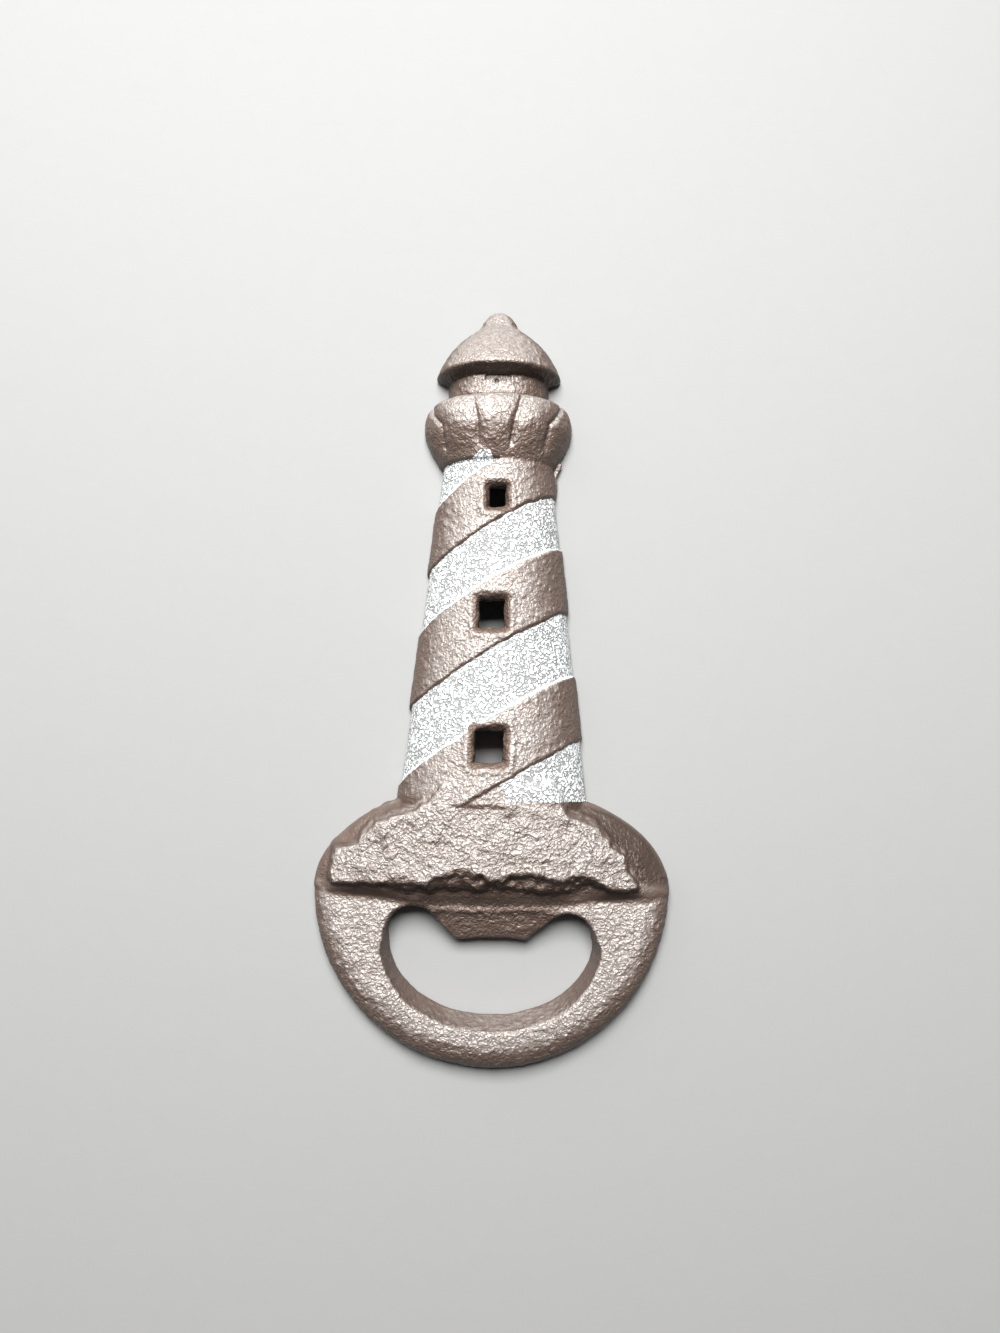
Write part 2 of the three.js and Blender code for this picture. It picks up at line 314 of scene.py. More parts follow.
def curved(sections, column, y):
    """A smooth run through one column of a table of sections."""
    at = np.array([s[0] for s in sections])
    value = np.array([s[column] for s in sections])
    slope = np.gradient(value, at)
    k = np.clip(np.searchsorted(at, y) - 1, 0, len(at) - 2)
    span = at[k + 1] - at[k]
    t = np.clip((y - at[k]) / span, 0, 1)
    a, b = value[k], value[k + 1]
    rise = slope[k] * span, slope[k + 1] * span
    return (
        a * (2 * t**3 - 3 * t**2 + 1) + rise[0] * (t**3 - 2 * t**2 + t)
        + b * (3 * t**2 - 2 * t**3) + rise[1] * (t**3 - t**2)
    ).astype(np.float32)


# ---- the casting's solids ----


def lobe(x, y, radius, start, sweep):
    """Points round one lobe of the mouth; the angles are in degrees."""
    turns = [math.radians(start + sweep * i / 14) for i in range(15)]
    return [(x + radius * math.cos(turn), y + radius * math.sin(turn)) for turn in turns]


def mouth_outline():
    """The opening's outline at the back, with the lip between its two lobes."""
    points = []
    for i in range(25):
        turn = math.pi + math.pi * i / 24
        x, y = MOUTH["half"] * math.cos(turn), MOUTH["centre"] + MOUTH["below"] * math.sin(turn)
        points.append((x, y))
    left, right = LOBES
    points += lobe(*right, -5, 145)
    half, tip = LIP["half"], LIP["tip"]
    points += [(half + 1.6, tip + 1.9), (half + 0.2, tip + 0.25), (half - 0.7, tip)]
    points += [(3.4, tip + LIP["dip"]), (-3.2, tip + LIP["dip"])]
    points += [(0.7 - half, tip), (-half - 0.2, tip + 0.3), (-half - 1.4, tip + 2.0)]
    return points + lobe(*left, 42, 143)


def plate_with_mouth(x, y, z, casting):
    """The flat casting of the ring and lip."""
    rise = np.where(y < PLATE["centre"], PLATE["below"], PLATE["above"])
    side = oval_gap(x, y - PLATE["centre"], PLATE["half"], rise)
    side = side + 0.12 * lattice(x, y, 0, 7, 3)
    lip_slope = LIP["tip_height"] + LIP["slope"] * (y - LIP["tip"])
    lip_area = ease(13.5, 10.5, np.abs(x)) * ease(20, 23, y)
    top = casting.plate_thickness / MM + 0.1 * lattice(x, y, 0, 6, 5)
    top = top - lip_area * np.maximum(0, top - lip_slope)
    wide, high = casting.edge_width / MM, casting.edge_height / MM
    u = np.maximum(side + wide, 0) / wide
    v = np.maximum(z - top + high, 0) / high
    corner = np.hypot(u, v)
    body = np.where(corner > 0, (corner - 1) * high, np.maximum(side, z - top))
    body = trimmed(body, -z, 0.8)
    hole = outline_gap(x, y, mouth_outline()) + 0.1 * lattice(x, y, 0, 4, 6)
    draft = 0.25 + 1.0 * ease(27, 21, y) + 0.75 * ease(20, 9, y)
    return trimmed(body, (z / 6) * draft - hole, 0.45), side


def crag(x, y, z, side, casting):
    """The rock: sloping flanks, the craggy top and the broken face under its brow."""
    rough = 0.3 * lattice(x, y, 0, 1.9, 11) + 0.3 * lattice(x, y, 0, 0.95, 12)
    foot = np.interp(x, *zip(*FACE_FOOT)).astype(np.float32)
    brow = np.interp(x, *zip(*BROW)).astype(np.float32) - 0.35 + 1.25 * rough
    reach = np.maximum(brow - foot, 1.3)
    climb = (y - foot) / reach
    crag_top = casting.crag_height / MM - 0.0031 * x * x + 0.25 * lattice(x, y, 0, 5, 15)
    crag_top = crag_top + 0.14 * lattice(x, y, 0, 1.7, 16)
    face = FACE_ROOT + (crag_top - FACE_ROOT) * (0.7 * climb + 0.3 * np.clip(climb, 0, 2) ** 3)
    for middle, half in MOUNDS:
        face = face + 1.5 * np.exp(-(((x - middle) / half) ** 4) - ((climb - 0.5) / 0.26) ** 2)
    broken = ease(0.25, 0.5, climb)
    face = face + broken * (0.55 * lattice(x, y, 0, 2.3, 14) + 0.35 * lattice(x, y, 0, 1.1, 17))
    front = (z - face) / np.sqrt(1 + (6.5 / reach) ** 2)
    shoulder = outline_gap(x, y, [(p[0], p[1] - 6) if p[1] < 34 else p for p in SHOULDER])
    shoulder = shoulder + 0.9 * rough
    flank_top = 4.4 + 0.5 * np.clip(-side, 0, 9) + 0.5 * lattice(x, y, 0, 3.2, 13)
    flank = trimmed(side + 0.1, z - flank_top, 1.2)
    slab = trimmed(shoulder + 0.3 * (z - 9), z - crag_top, 0.6)
    rock = trimmed(joined(flank, slab, 0.25), front, 0.45)
    rock = trimmed(rock, foot - 0.3 - y, 0.3)
    return trimmed(rock, -z, 0.8)


def tower_size(y):
    """Half width and bulge of the tower at a height."""
    part = (y - ROCK_TOP) / (TOWER_TOP - ROCK_TOP)
    half = TOWER["foot_half"] + part * (TOWER["top_half"] - TOWER["foot_half"])
    bulge = TOWER["foot_bulge"] + part * (TOWER["top_bulge"] - TOWER["foot_bulge"])
    return half, bulge


def wound(x, y, z):
    """A point's height brought along the winding of the stripes to the tower's middle line."""
    return y - SLANT[0] * x - SLANT[1] * z


def wander(x, y, z):
    """How far the stripes' edges wander from their line."""
    return 0.25 * lattice(x, y, z, 3.2, 21) + 0.14 * lattice(x, y, z, 1.1, 22)


def stripe_depth(x, y, z):
    """How deep a point lies inside the nearest white stripe along the tower, negative outside."""
    base = wound(x, y, z) + wander(x, y, z)
    inside = np.full(base.shape, -99.0, dtype=np.float32)
    for low, high in STRIPES.values():
        inside = np.maximum(inside, np.minimum(base - low, high - base))
    return inside


def window_gap(x, y):
    """Distance to the nearest window's outer outline."""
    best = None
    for cx, cy, width, height in WINDOWS:
        u = np.abs(x - cx) - width / 2 + WINDOW_CORNER
        v = np.abs(y - cy) - height / 2 + WINDOW_CORNER
        corner = np.hypot(np.maximum(u, 0), np.maximum(v, 0))
        gap = corner + np.minimum(np.maximum(u, v), 0) - WINDOW_CORNER
        best = gap if best is None else np.minimum(best, gap)
    return best + 0.18 * lattice(x, y, 0, 1.3, 23)


def tower(x, y, z, casting):
    """The hollow half-round tower with raised bands and three windows."""
    half, bulge = tower_size(y)
    skin = oval_gap(x, z, half, bulge)
    low_ground = ease(-0.25, 0.3, stripe_depth(x, y, z))
    skin = skin + (casting.band_relief / MM) * low_ground
    windows = window_gap(x, y)
    skin = skin - 0.16 * np.exp(-(((windows - 0.45) / 0.4) ** 2))
    skin = skin + 1.4 * ease(ROCK_TOP - 0.2, ROCK_TOP - 2, y) * ease(6, 10, z)
    solid = trimmed(skin, np.maximum(ROCK_TOP - 3 - y, y - TOWER_TOP - 1), 0.1)
    solid = trimmed(solid, -z, 0.7)
    bore = oval_gap(x, z, half - casting.wall / MM, bulge - casting.wall / MM)
    bore = trimmed(bore, np.maximum(HOLLOW[0] - y, y - HOLLOW[1]), 1.2)
    solid = trimmed(solid, -bore, 0.4)
    depth = np.clip((bulge + 0.1 - z) / BEVEL["deep"], 0, 1)
    through = windows + BEVEL["wide"] * depth**0.8
    return trimmed(solid, -through, 0.3)


def half_round(x, y, z, sections, lift=0.0):
    """A half-round body through sections, closed at both ends."""
    half = curved(sections, 1, y)
    bulge = curved(sections, 2, y)
    skin = oval_gap(x, z, half, bulge) - lift
    ends = np.maximum(sections[0][0] - y, y - sections[-1][0])
    return trimmed(trimmed(skin, ends, 0.3), -z, 0.6)


def gallery_lift(x, y, z):
    """The gallery's pillowed panels, parted by grooves that run down to the tower."""
    half = curved(GALLERY, 1, y)
    bulge = curved(GALLERY, 2, y)
    turn = np.degrees(np.arctan2(x / half, np.maximum(z, 0) / bulge))
    level = [GALLERY[0][0], 125.0, GALLERY[-1][0]]
    runs = [np.interp(y, level, [foot, mid, top]) for top, mid, foot, _, _ in GROOVES]
    edges = [-110 + 0 * y] + runs + [110 + 0 * y]
    lift = np.zeros(turn.shape, dtype=np.float32)
    for low, high in zip(edges, edges[1:]):
        across = (2 * turn - low - high) / (high - low)
        lift += np.where(np.abs(across) <= 1, 0.5 * (1 - across**2) - 0.3, 0)
    for at, (_, _, _, deep, wide) in zip(runs, GROOVES):
        lift -= deep * np.exp(-(((turn - at) / wide) ** 2))
    return lift * ease(119.2, 121.5, y) * ease(131.6, 129.5, y)


def top_works(x, y, z):
    """Gallery, lantern room, roof and finial."""
    bowl = half_round(x, y, z, GALLERY, gallery_lift(x, y, z))
    room = half_round(x, y, z, LANTERN)
    left, right, low, high = PANE
    pane = np.maximum(np.maximum(left - x, x - right), np.maximum(low - y, y - high))
    room = trimmed(room, -np.maximum(pane, 7.8 + 0.45 * ease(high, high - 1.8, y) - z), 0.12)
    dot = np.hypot(x - PANE_DOT[0], y - PANE_DOT[1]) - PANE_DOT[2]
    room = trimmed(room, -np.maximum(dot, 7.6 - z), 0.1)
    seam_line = 0.35 * np.exp(-(((y - GALLERY[-1][0] - 0.15) / 0.3) ** 2))
    return joined(joined(bowl, room, 0.1) + seam_line, half_round(x, y, z, ROOF), 0.15)


def casting_distance(x, y, z, casting):
    """Distance to the whole casting."""
    plate, side = plate_with_mouth(x, y, z, casting)
    fillet = 0.5 + 1.4 * ease(-1.5, -5.0, side)
    base = joined(plate, crag(x, y, z, side, casting), fillet)
    level, half = FIN_LEVEL
    fin = np.maximum(np.abs(z - level) - half, outline_gap(x, y, FIN))
    upper = joined(joined(tower(x, y, z, casting), top_works(x, y, z), 0.25), fin, 0.3)
    return joined(base, upper, 0.35)


def unpinched(field):
    """Fills the grid points at which the solid would touch itself only along a line."""
    for _ in range(6):
        pinches = 0
        for axis in range(3):
            grid = np.moveaxis(field, axis, 0)
            corner = grid[:, :-1, :-1], grid[:, 1:, :-1], grid[:, 1:, 1:], grid[:, :-1, 1:]
            a, b, c, d = (value < 0 for value in corner)
            crossed = (a == c) & (b == d) & (a != b)
            pinches += int(crossed.sum())
            corner[0][crossed & ~a] = -0.02
            corner[1][crossed & a] = -0.02
        if not pinches:
            break
    return field


def skin_of(field, origin, step):
    """A closed quad skin round the space where a grid of distances is negative."""
    inside = field < 0
    n = [s - 1 for s in field.shape]
    count = np.zeros(n, dtype=np.int8)
    corners = [(i, j, k) for i in (0, 1) for j in (0, 1) for k in (0, 1)]
    for i, j, k in corners:
        count += inside[i : n[0] + i, j : n[1] + j, k : n[2] + k]
    cells = np.argwhere((count > 0) & (count < 8))
    number = np.full(n, -1, dtype=np.int32)
    number[tuple(cells.T)] = np.arange(len(cells))
    value = np.stack([field[tuple((cells + c).T)] for c in corners], axis=1)
    place = np.zeros((len(cells), 3))
    found = np.zeros(len(cells))
    for a in range(8):
        for b in range(a + 1, 8):
            if sum(abs(p - q) for p, q in zip(corners[a], corners[b])) != 1:
                continue
            cut = (value[:, a] < 0) != (value[:, b] < 0)
            span = np.where(cut, value[:, a] - value[:, b], 1.0)
            t = np.where(cut, value[:, a] / span, 0.0)[:, None]
            spot = np.array(corners[a]) * (1 - t) + np.array(corners[b]) * t
            place[cut] += spot[cut]
            found += cut
    points = (cells + place / found[:, None]) * step + np.array(origin)
    faces = []
    for axis in range(3):
        u, v = [(1, 2), (2, 0), (0, 1)][axis]
        low = [slice(None)] * 3
        high = [slice(None)] * 3
        low[axis], high[axis] = slice(0, -1), slice(1, None)
        changes = inside[tuple(low)] != inside[tuple(high)]
        edge = np.argwhere(changes)
        edge = edge[(edge[:, u] > 0) & (edge[:, v] > 0) & (edge[:, u] < n[u]) & (edge[:, v] < n[v])]
        leaving = inside[tuple(edge.T)]
        du, dv = np.zeros(3, dtype=int), np.zeros(3, dtype=int)
        du[u], dv[v] = 1, 1
        around = [edge - du - dv, edge - dv, edge, edge - du]
        quad = np.stack([number[tuple(c.T)] for c in around], axis=1)
        quad[~leaving] = quad[~leaving][:, ::-1]
        faces.append(quad)
    return points, np.concatenate(faces)


# ---- meshes ----


def plain_mesh(name, points, faces):
    """A mesh datablock from arrays of points in metres and faces of equal size."""
    mesh = bpy.data.meshes.new(name)
    size = faces.shape[1]
    mesh.vertices.add(len(points))
    mesh.vertices.foreach_set("co", np.ascontiguousarray(points, dtype=np.float32).ravel())
    mesh.loops.add(faces.size)
    mesh.loops.foreach_set("vertex_index", np.ascontiguousarray(faces, dtype=np.int32).ravel())
    mesh.polygons.add(len(faces))
    mesh.polygons.foreach_set("loop_start", np.arange(0, faces.size, size, dtype=np.int32))
    mesh.polygons.foreach_set("loop_total", np.full(len(faces), size, dtype=np.int32))
    mesh.update(calc_edges=True)
    mesh.validate()
    return mesh


def store(mesh, name, values):
    """Keeps one number for each point."""
    kept = mesh.attributes.new(name, "FLOAT", "POINT")
    kept.data.foreach_set("value", np.ascontiguousarray(values, dtype=np.float32))


def read_mesh(mesh):
    """Points, triangles and normals of a mesh."""
    points = np.empty(len(mesh.vertices) * 3, dtype=np.float32)
    mesh.vertices.foreach_get("co", points)
    mesh.calc_loop_triangles()
    faces = np.empty(len(mesh.loop_triangles) * 3, dtype=np.int32)
    mesh.loop_triangles.foreach_get("vertices", faces)
    normals = np.empty(len(mesh.vertices) * 3, dtype=np.float32)
    mesh.vertices.foreach_get("normal", normals)
    return points.reshape(-1, 3), faces.reshape(-1, 3), normals.reshape(-1, 3)


def sides_of(faces):
    """Every triangle's three sides, in its own order."""
    return np.concatenate([faces[:, [0, 1]], faces[:, [1, 2]], faces[:, [2, 0]]]).astype(np.int64)


def part_of(points, faces, extra, keep):
    """The part of a triangle mesh where keep is positive, cut cleanly along keep = 0.

    extra is an array of further columns that is carried along. Returns points, faces and extra.
    """
    keep = np.where(np.abs(keep) < 0.01, 0.01, keep)
    inside = keep > 0
    count = inside[faces].sum(axis=1)
    whole = faces[count == 3]
    mixed = faces[(count == 1) | (count == 2)]
    lone_is_in = inside[mixed].sum(axis=1) == 1
    lone = np.argmax(inside[mixed] == lone_is_in[:, None], axis=1)
    rows = np.arange(len(mixed))
    a, b, c = (mixed[rows, (lone + k) % 3] for k in range(3))
    ends = np.sort(np.concatenate([np.stack([a, b], 1), np.stack([a, c], 1)]), axis=1)
    pairs, back = np.unique(ends, axis=0, return_inverse=True)
    back = back.reshape(-1)
    p, q = pairs[:, 0], pairs[:, 1]
    t = (keep[p] / (keep[p] - keep[q]))[:, None]
    columns = np.concatenate([points, extra], axis=1)
    columns = np.concatenate([columns, columns[p] * (1 - t) + columns[q] * t])
    ab = len(points) + back[: len(mixed)]
    ac = len(points) + back[len(mixed) :]
    single = np.stack([a, ab, ac], 1)[lone_is_in]
    out = ~lone_is_in
    first = np.stack([ab, b, c], 1)[out]
    second = np.stack([ab, c, ac], 1)[out]
    faces = np.concatenate([whole, single, first, second])
    used, faces = np.unique(faces, return_inverse=True)
    columns = columns[used]
    return columns[:, :3], faces.reshape(-1, 3), columns[:, 3:]


def capped(points, faces, flat):
    """Closes the open rim of a cut; flat lays the cut face out in two directions."""
    sides = sides_of(faces)
    count = len(points)
    forward = sides[:, 0] * count + sides[:, 1]
    backward = sides[:, 1] * count + sides[:, 0]
    rim = sides[~np.isin(forward, backward)]
    if not len(rim):
        return faces
    used, edges = np.unique(rim, return_inverse=True)
    edges = edges.reshape(-1, 2)
    spots = flat(points[used])
    found = delaunay_2d_cdt([Vector(spot) for spot in spots], edges.tolist(), [], 1, 1e-7, True)
    where = np.array([own[0] if own else -1 for own in found[3]])
    cap = where[np.array(found[2])]
    cap = cap[(cap >= 0).all(axis=1)]
    middle = spots[cap].mean(axis=1)
    a, b = spots[edges[:, 0]].T, spots[edges[:, 1]].T
    u, v = middle[:, 0, None], middle[:, 1, None]
    rise = np.where(b[1] == a[1], 1e-12, b[1] - a[1])
    crosses = ((a[1] > v) != (b[1] > v)) & (u < a[0] + (v - a[1]) * (b[0] - a[0]) / rise)
    cap = used[cap[crosses.sum(axis=1) % 2 == 1]]
    ways = sides_of(cap)
    same = np.isin(ways[:, 0] * count + ways[:, 1], forward).sum()
    if same > np.isin(ways[:, 1] * count + ways[:, 0], forward).sum():
        cap = cap[:, ::-1]
    return np.concatenate([faces, cap])


def placed(name, mesh, material, slot, *nodes):
    """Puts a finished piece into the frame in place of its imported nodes."""
    mesh.shade_smooth()
    mesh.set_sharp_from_angle(angle=math.radians(60))
    mesh.materials.clear()
    mesh.materials.append(material)
    piece = bpy.data.objects.new(name, mesh)
    bpy.context.scene.collection.objects.link(piece)
    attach(piece, "root")
    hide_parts(*nodes)
    return piece


# ---- node helpers ----


def join(tree, source, target):
    tree.links.new(source, target)


def maths(tree, operation, a, b=0.0):
    """A Math node; a and b are numbers or sockets."""
    node = tree.nodes.new("ShaderNodeMath")
    node.operation = operation
    for socket, value in zip(node.inputs, (a, b)):
        if isinstance(value, bpy.types.NodeSocket):
            tree.links.new(value, socket)
        else:
            socket.default_value = value
    return node.outputs[0]


def scaled(tree, value, factor, offset=0.0):
    """Value times factor, plus offset."""
    value = maths(tree, "MULTIPLY", value, factor)
    return maths(tree, "ADD", value, offset) if offset else value


def ramp(tree, value, low, high):
    """Value brought to 0 at low and 1 at high, smoothly."""
    node = tree.nodes.new("ShaderNodeMapRange")
    node.interpolation_type = "SMOOTHSTEP"
    node.inputs["From Min"].default_value = low
    node.inputs["From Max"].default_value = high
    tree.links.new(value, node.inputs["Value"])
    return node.outputs["Result"]


def blend(tree, factor, a, b):
    """A colour mix; a and b are colours or sockets."""
    node = tree.nodes.new("ShaderNodeMix")
    node.data_type = "RGBA"
    tree.links.new(factor, node.inputs["Factor"])
    for name, value in (("A", a), ("B", b)):
        socket = next(s for s in node.inputs if s.name == name and s.type == "RGBA")
        if isinstance(value, bpy.types.NodeSocket):
            tree.links.new(value, socket)
        else:
            socket.default_value = value
    return next(s for s in node.outputs if s.type == "RGBA")


def noise(tree, place, size, detail=2.0, rough=0.5, distortion=0.0):
    """Noise with features of one size in metres, between 0 and 1."""
    node = tree.nodes.new("ShaderNodeTexNoise")
    node.inputs["Scale"].default_value = 1 / size
    node.inputs["Detail"].default_value = detail
    node.inputs["Roughness"].default_value = rough
    node.inputs["Distortion"].default_value = distortion
    tree.links.new(place, node.inputs["Vector"])
    return node.outputs[0]


# ---- materials ----


def new_material(name):
    material = bpy.data.materials.new(name)
    material.use_nodes = True
    tree = material.node_tree
    tree.nodes.clear()
    out = tree.nodes.new("ShaderNodeOutputMaterial")
    shader = tree.nodes.new("ShaderNodeBsdfPrincipled")
    join(tree, shader.outputs[0], out.inputs["Surface"])
    place = tree.nodes.new("ShaderNodeTexCoord").outputs["Object"]
    return material, tree, shader, place


def bumped(tree, shader, height, distance, strength=1.0):
    node = tree.nodes.new("ShaderNodeBump")
    node.inputs["Strength"].default_value = strength
    node.inputs["Distance"].default_value = distance
    join(tree, height, node.inputs["Height"])
    join(tree, node.outputs[0], shader.inputs["Normal"])


def worms(tree, place, size):
    """Raised grains parted by thin winding channels: 0 in a channel, 1 on a grain."""
    field = noise(tree, place, size, 1.0, 0.5, 0.3)
    return ramp(tree, maths(tree, "ABSOLUTE", maths(tree, "SUBTRACT", field, 0.5)), 0.0, 0.12)


def own_number(tree, name):
    """A number that the mesh carries at each point."""
    node = tree.nodes.new("ShaderNodeAttribute")
    node.attribute_name = name
    return node.outputs["Fac"]


def bronze_paint(paint):
    """Brown paint with bright metal flakes over rough sand-cast iron, and painted light and shade: the
    flakes and lighter grain tops follow the mesh's painted light number, and the dark shade colour is
    laid where it falls below 0.
    """
    material, tree, shader, place = new_material("bronze_paint")
    grains = worms(tree, place, 0.0011)
    coarse = noise(tree, place, 0.0016, 2.0, 0.5)
    pebble = noise(tree, place, 0.0006, 1.5, 0.5)
    patch = noise(tree, place, 0.008, 3.0, 0.6)
    height = maths(tree, "ADD", scaled(tree, grains, 0.2), scaled(tree, pebble, 0.7))
    height = maths(tree, "ADD", height, scaled(tree, coarse, 0.4))
    # painted highlight, in part: the grain's tops are painted lighter, standing in for the glints on
    # them
    peak_highlights = ramp(tree, height, 0.5, 0.8)
    # painted light from the mesh's painted light number, broken by random patches
    lit_cover = maths(tree, "ADD", own_number(tree, "painted_light"), scaled(tree, patch, 0.2))
    bare_and_shade = ramp(tree, lit_cover, 0.1, -0.4)
    lit_cover = ramp(tree, lit_cover, 0.05, 1.1)
    bright = maths(tree, "MULTIPLY", lit_cover, scaled(tree, peak_highlights, 0.42, 0.58))
    tone = blend(tree, bright, paint.bronze, paint.flake_highlight)
    # painted shade: where the number falls below 0 the dark shade colour is laid
    join(tree, blend(tree, bare_and_shade, tone, paint.shade), shader.inputs["Base Color"])
    join(tree, scaled(tree, bright, 0.15, 0.28), shader.inputs["Metallic"])
    join(tree, scaled(tree, patch, 0.12, 0.42), shader.inputs["Roughness"])
    depth = scaled(tree, own_number(tree, "rough"), 0.75, 0.2)
    bumped(tree, shader, maths(tree, "MULTIPLY", height, depth), 0.00058, 1.0)
    return material


def white_paint(paint):
    """White paint brushed thinly over the grain, with grey channels that it doesn't fill."""
    material, tree, shader, place = new_material("white_paint")
    grains = worms(tree, place, 0.00085)
    fine = noise(tree, place, 0.0004, 1.5, 0.5)
    patch = noise(tree, place, 0.006, 2.0, 0.6)
    level = maths(tree, "ADD", grains, scaled(tree, fine, 0.5))
    bare_and_shade = ramp(tree, maths(tree, "ADD", level, scaled(tree, patch, 0.3)), 1.15, 0.65)
    bare_and_shade = maths(tree, "MULTIPLY", bare_and_shade, ramp(tree, own_number(tree, "edge"), 0.2, 0.9))
    cool = [paint.white[0] * 0.95, paint.white[1] * 0.99, paint.white[2], 1]
    tint = blend(tree, ramp(tree, patch, 0.3, 0.7), paint.white, cool)
    tint = blend(tree, scaled(tree, bare_and_shade, 0.95), tint, paint.pit)
    join(tree, tint, shader.inputs["Base Color"])
    join(tree, scaled(tree, bare_and_shade, 0.2, 0.3), shader.inputs["Roughness"])
    shader.inputs["Metallic"].default_value = 0.0
    bumped(tree, shader, level, 0.00025, 1.0)
    return material


def floor_finish(stage):
    """A plain pale matt floor."""
    material, tree, shader, place = new_material("studio_floor")
    soft = noise(tree, place, 0.004, 2.0, 0.5)
    dark = [c * 0.97 for c in stage.floor[:3]] + [1]
    join(tree, blend(tree, soft, stage.floor, dark), shader.inputs["Base Color"])
    shader.inputs["Roughness"].default_value = 0.75
    bumped(tree, shader, soft, 0.00004, 0.3)
    return material


# ---- grain with Geometry Nodes ----


def grain_tree():
    """A tree that raises and sinks a skin along its own normals, like sand-cast iron."""
    tree = bpy.data.node_groups.new("sand_cast_grain", "GeometryNodeTree")
    sockets = tree.interface
    sockets.new_socket("Geometry", in_out="INPUT", socket_type="NodeSocketGeometry")
    inputs = {"Grain Depth": 0.0002, "Grain Size": 0.001, "Lump Depth": 0.0002, "Lump Size": 0.004}
    for name, value in inputs.items():
        socket = sockets.new_socket(name, in_out="INPUT", socket_type="NodeSocketFloat")
        socket.default_value = value
    sockets.new_socket("Finish", in_out="INPUT", socket_type="NodeSocketMaterial")
    sockets.new_socket("Geometry", in_out="OUTPUT", socket_type="NodeSocketGeometry")
    source = tree.nodes.new("NodeGroupInput")
    out = tree.nodes.new("NodeGroupOutput")
    place = tree.nodes.new("GeometryNodeInputPosition").outputs[0]
    normal = tree.nodes.new("GeometryNodeInputNormal").outputs[0]
    rough = tree.nodes.new("GeometryNodeInputNamedAttribute")
    rough.data_type = "FLOAT"
    rough.inputs["Name"].default_value = "rough"
    total = None
    for label, detail in (("Grain", 1.5), ("Lump", 1.0)):
        texture = tree.nodes.new("ShaderNodeTexNoise")
        texture.inputs["Detail"].default_value = detail
        join(tree, place, texture.inputs["Vector"])
        join(tree, maths(tree, "DIVIDE", 1.0, source.outputs[label + " Size"]), texture.inputs["Scale"])
        centred = maths(tree, "SUBTRACT", texture.outputs[0], 0.5)
        depth = maths(tree, "MULTIPLY", source.outputs[label + " Depth"], 2.0)
        amount = maths(tree, "MULTIPLY", centred, depth)
        total = amount if total is None else maths(tree, "ADD", total, amount)
    total = maths(tree, "MULTIPLY", total, rough.outputs["Attribute"])
    shift = tree.nodes.new("ShaderNodeVectorMath")
    shift.operation = "SCALE"
    join(tree, normal, shift.inputs[0])
    join(tree, total, shift.inputs["Scale"])
    move = tree.nodes.new("GeometryNodeSetPosition")
    join(tree, source.outputs["Geometry"], move.inputs["Geometry"])
    join(tree, shift.outputs[0], move.inputs["Offset"])
    realize = tree.nodes.new("GeometryNodeRealizeInstances")
    join(tree, move.outputs[0], realize.inputs[0])
    finish = tree.nodes.new("GeometryNodeSetMaterial")
    join(tree, realize.outputs[0], finish.inputs["Geometry"])
    join(tree, source.outputs["Finish"], finish.inputs["Material"])
    join(tree, finish.outputs[0], out.inputs[0])
    return tree


def with_nodes(mesh, tree, **inputs):
    """The mesh that a Geometry Nodes tree makes of another mesh."""
    holder = bpy.data.objects.new("grain_holder", mesh)
    bpy.context.scene.collection.objects.link(holder)
    modifier = holder.modifiers.new("grain", "NODES")
    modifier.node_group = tree
    sockets = [item for item in tree.interface.items_tree if item.item_type == "SOCKET"]
    names = {socket.name: socket.identifier for socket in sockets if socket.in_out == "INPUT"}
    for name, value in inputs.items():
        modifier[names[name.replace("_", " ")]] = value
    view = bpy.context.evaluated_depsgraph_get()
    made = bpy.data.meshes.new_from_object(holder.evaluated_get(view))
    holder.modifiers.clear()
    bpy.data.objects.remove(holder)
    return made


def roughness_of_casting(points):
    """How rough the casting is at each point: smooth walls and back, rough front."""
    x, y, z = points.T
    hole = outline_gap(x, y, mouth_outline())
    wall = ease(2.0, 0.7, hole) * ease(6.2, 5.4, z)
    back = ease(1.0, 0.3, z)
    rock = ease(RING_TOP, RING_TOP + 1.5, y) * ease(ROCK_TOP + 1, ROCK_TOP - 1, y)
    crag_top = rock * ease(7.5, 9.0, z)
    groove = rock * ease(7.8, 6.8, z) * ease(36.5, 35, y)
    outer = oval_gap(x, y - PLATE["centre"], PLATE["half"], PLATE["above"])
    facets = rock * ease(-4.2, -2.8, outer) * ease(36, 39, y)
    level = 0.75 + 0.2 * ease(RING_TOP, RING_TOP - 2, y) + 0.45 * crag_top
    level = level - 0.45 * groove - 0.45 * np.maximum(facets, face_foot(points))
    return np.clip(level * (1 - np.maximum(0.45 * wall, 0.7 * back)), 0.1, 1.3)


def flank_shade(points):
    """Painted shade on the rock's smooth flanks, stronger on the right side: they lose their flakes and
    darken.
    """
    x, y, z = points.T
    beyond = ease(0.2, 1.0, outline_gap(x, y, SHOULDER))
    # the right flank gets more painted shade
    right = 1 + 0.4 * ease(14, 20, x)
    return right * beyond * ease(34.0, 36.5, y) * ease(ROCK_TOP + 1.5, ROCK_TOP, y) * ease(3, 5, z)


def face_foot(points):
    """The smooth hollow along the foot of the rock's face, which is given painted shade."""
    x, y, z = points.T
    foot = np.interp(x, *zip(*FACE_FOOT))
    return np.exp(-(((y - foot + 0.5) / 1.15) ** 2)) * ease(31, 25, np.abs(x)) * ease(3, 5, z)


def window_wall(points):
    """The sloping walls inside each window, which are given painted shade."""
    x, y, z = points.T
    return ease(0.2, -0.2, window_gap(x, y)) * ease(3, 5, z) * ease(ROCK_TOP, ROCK_TOP + 2, y)


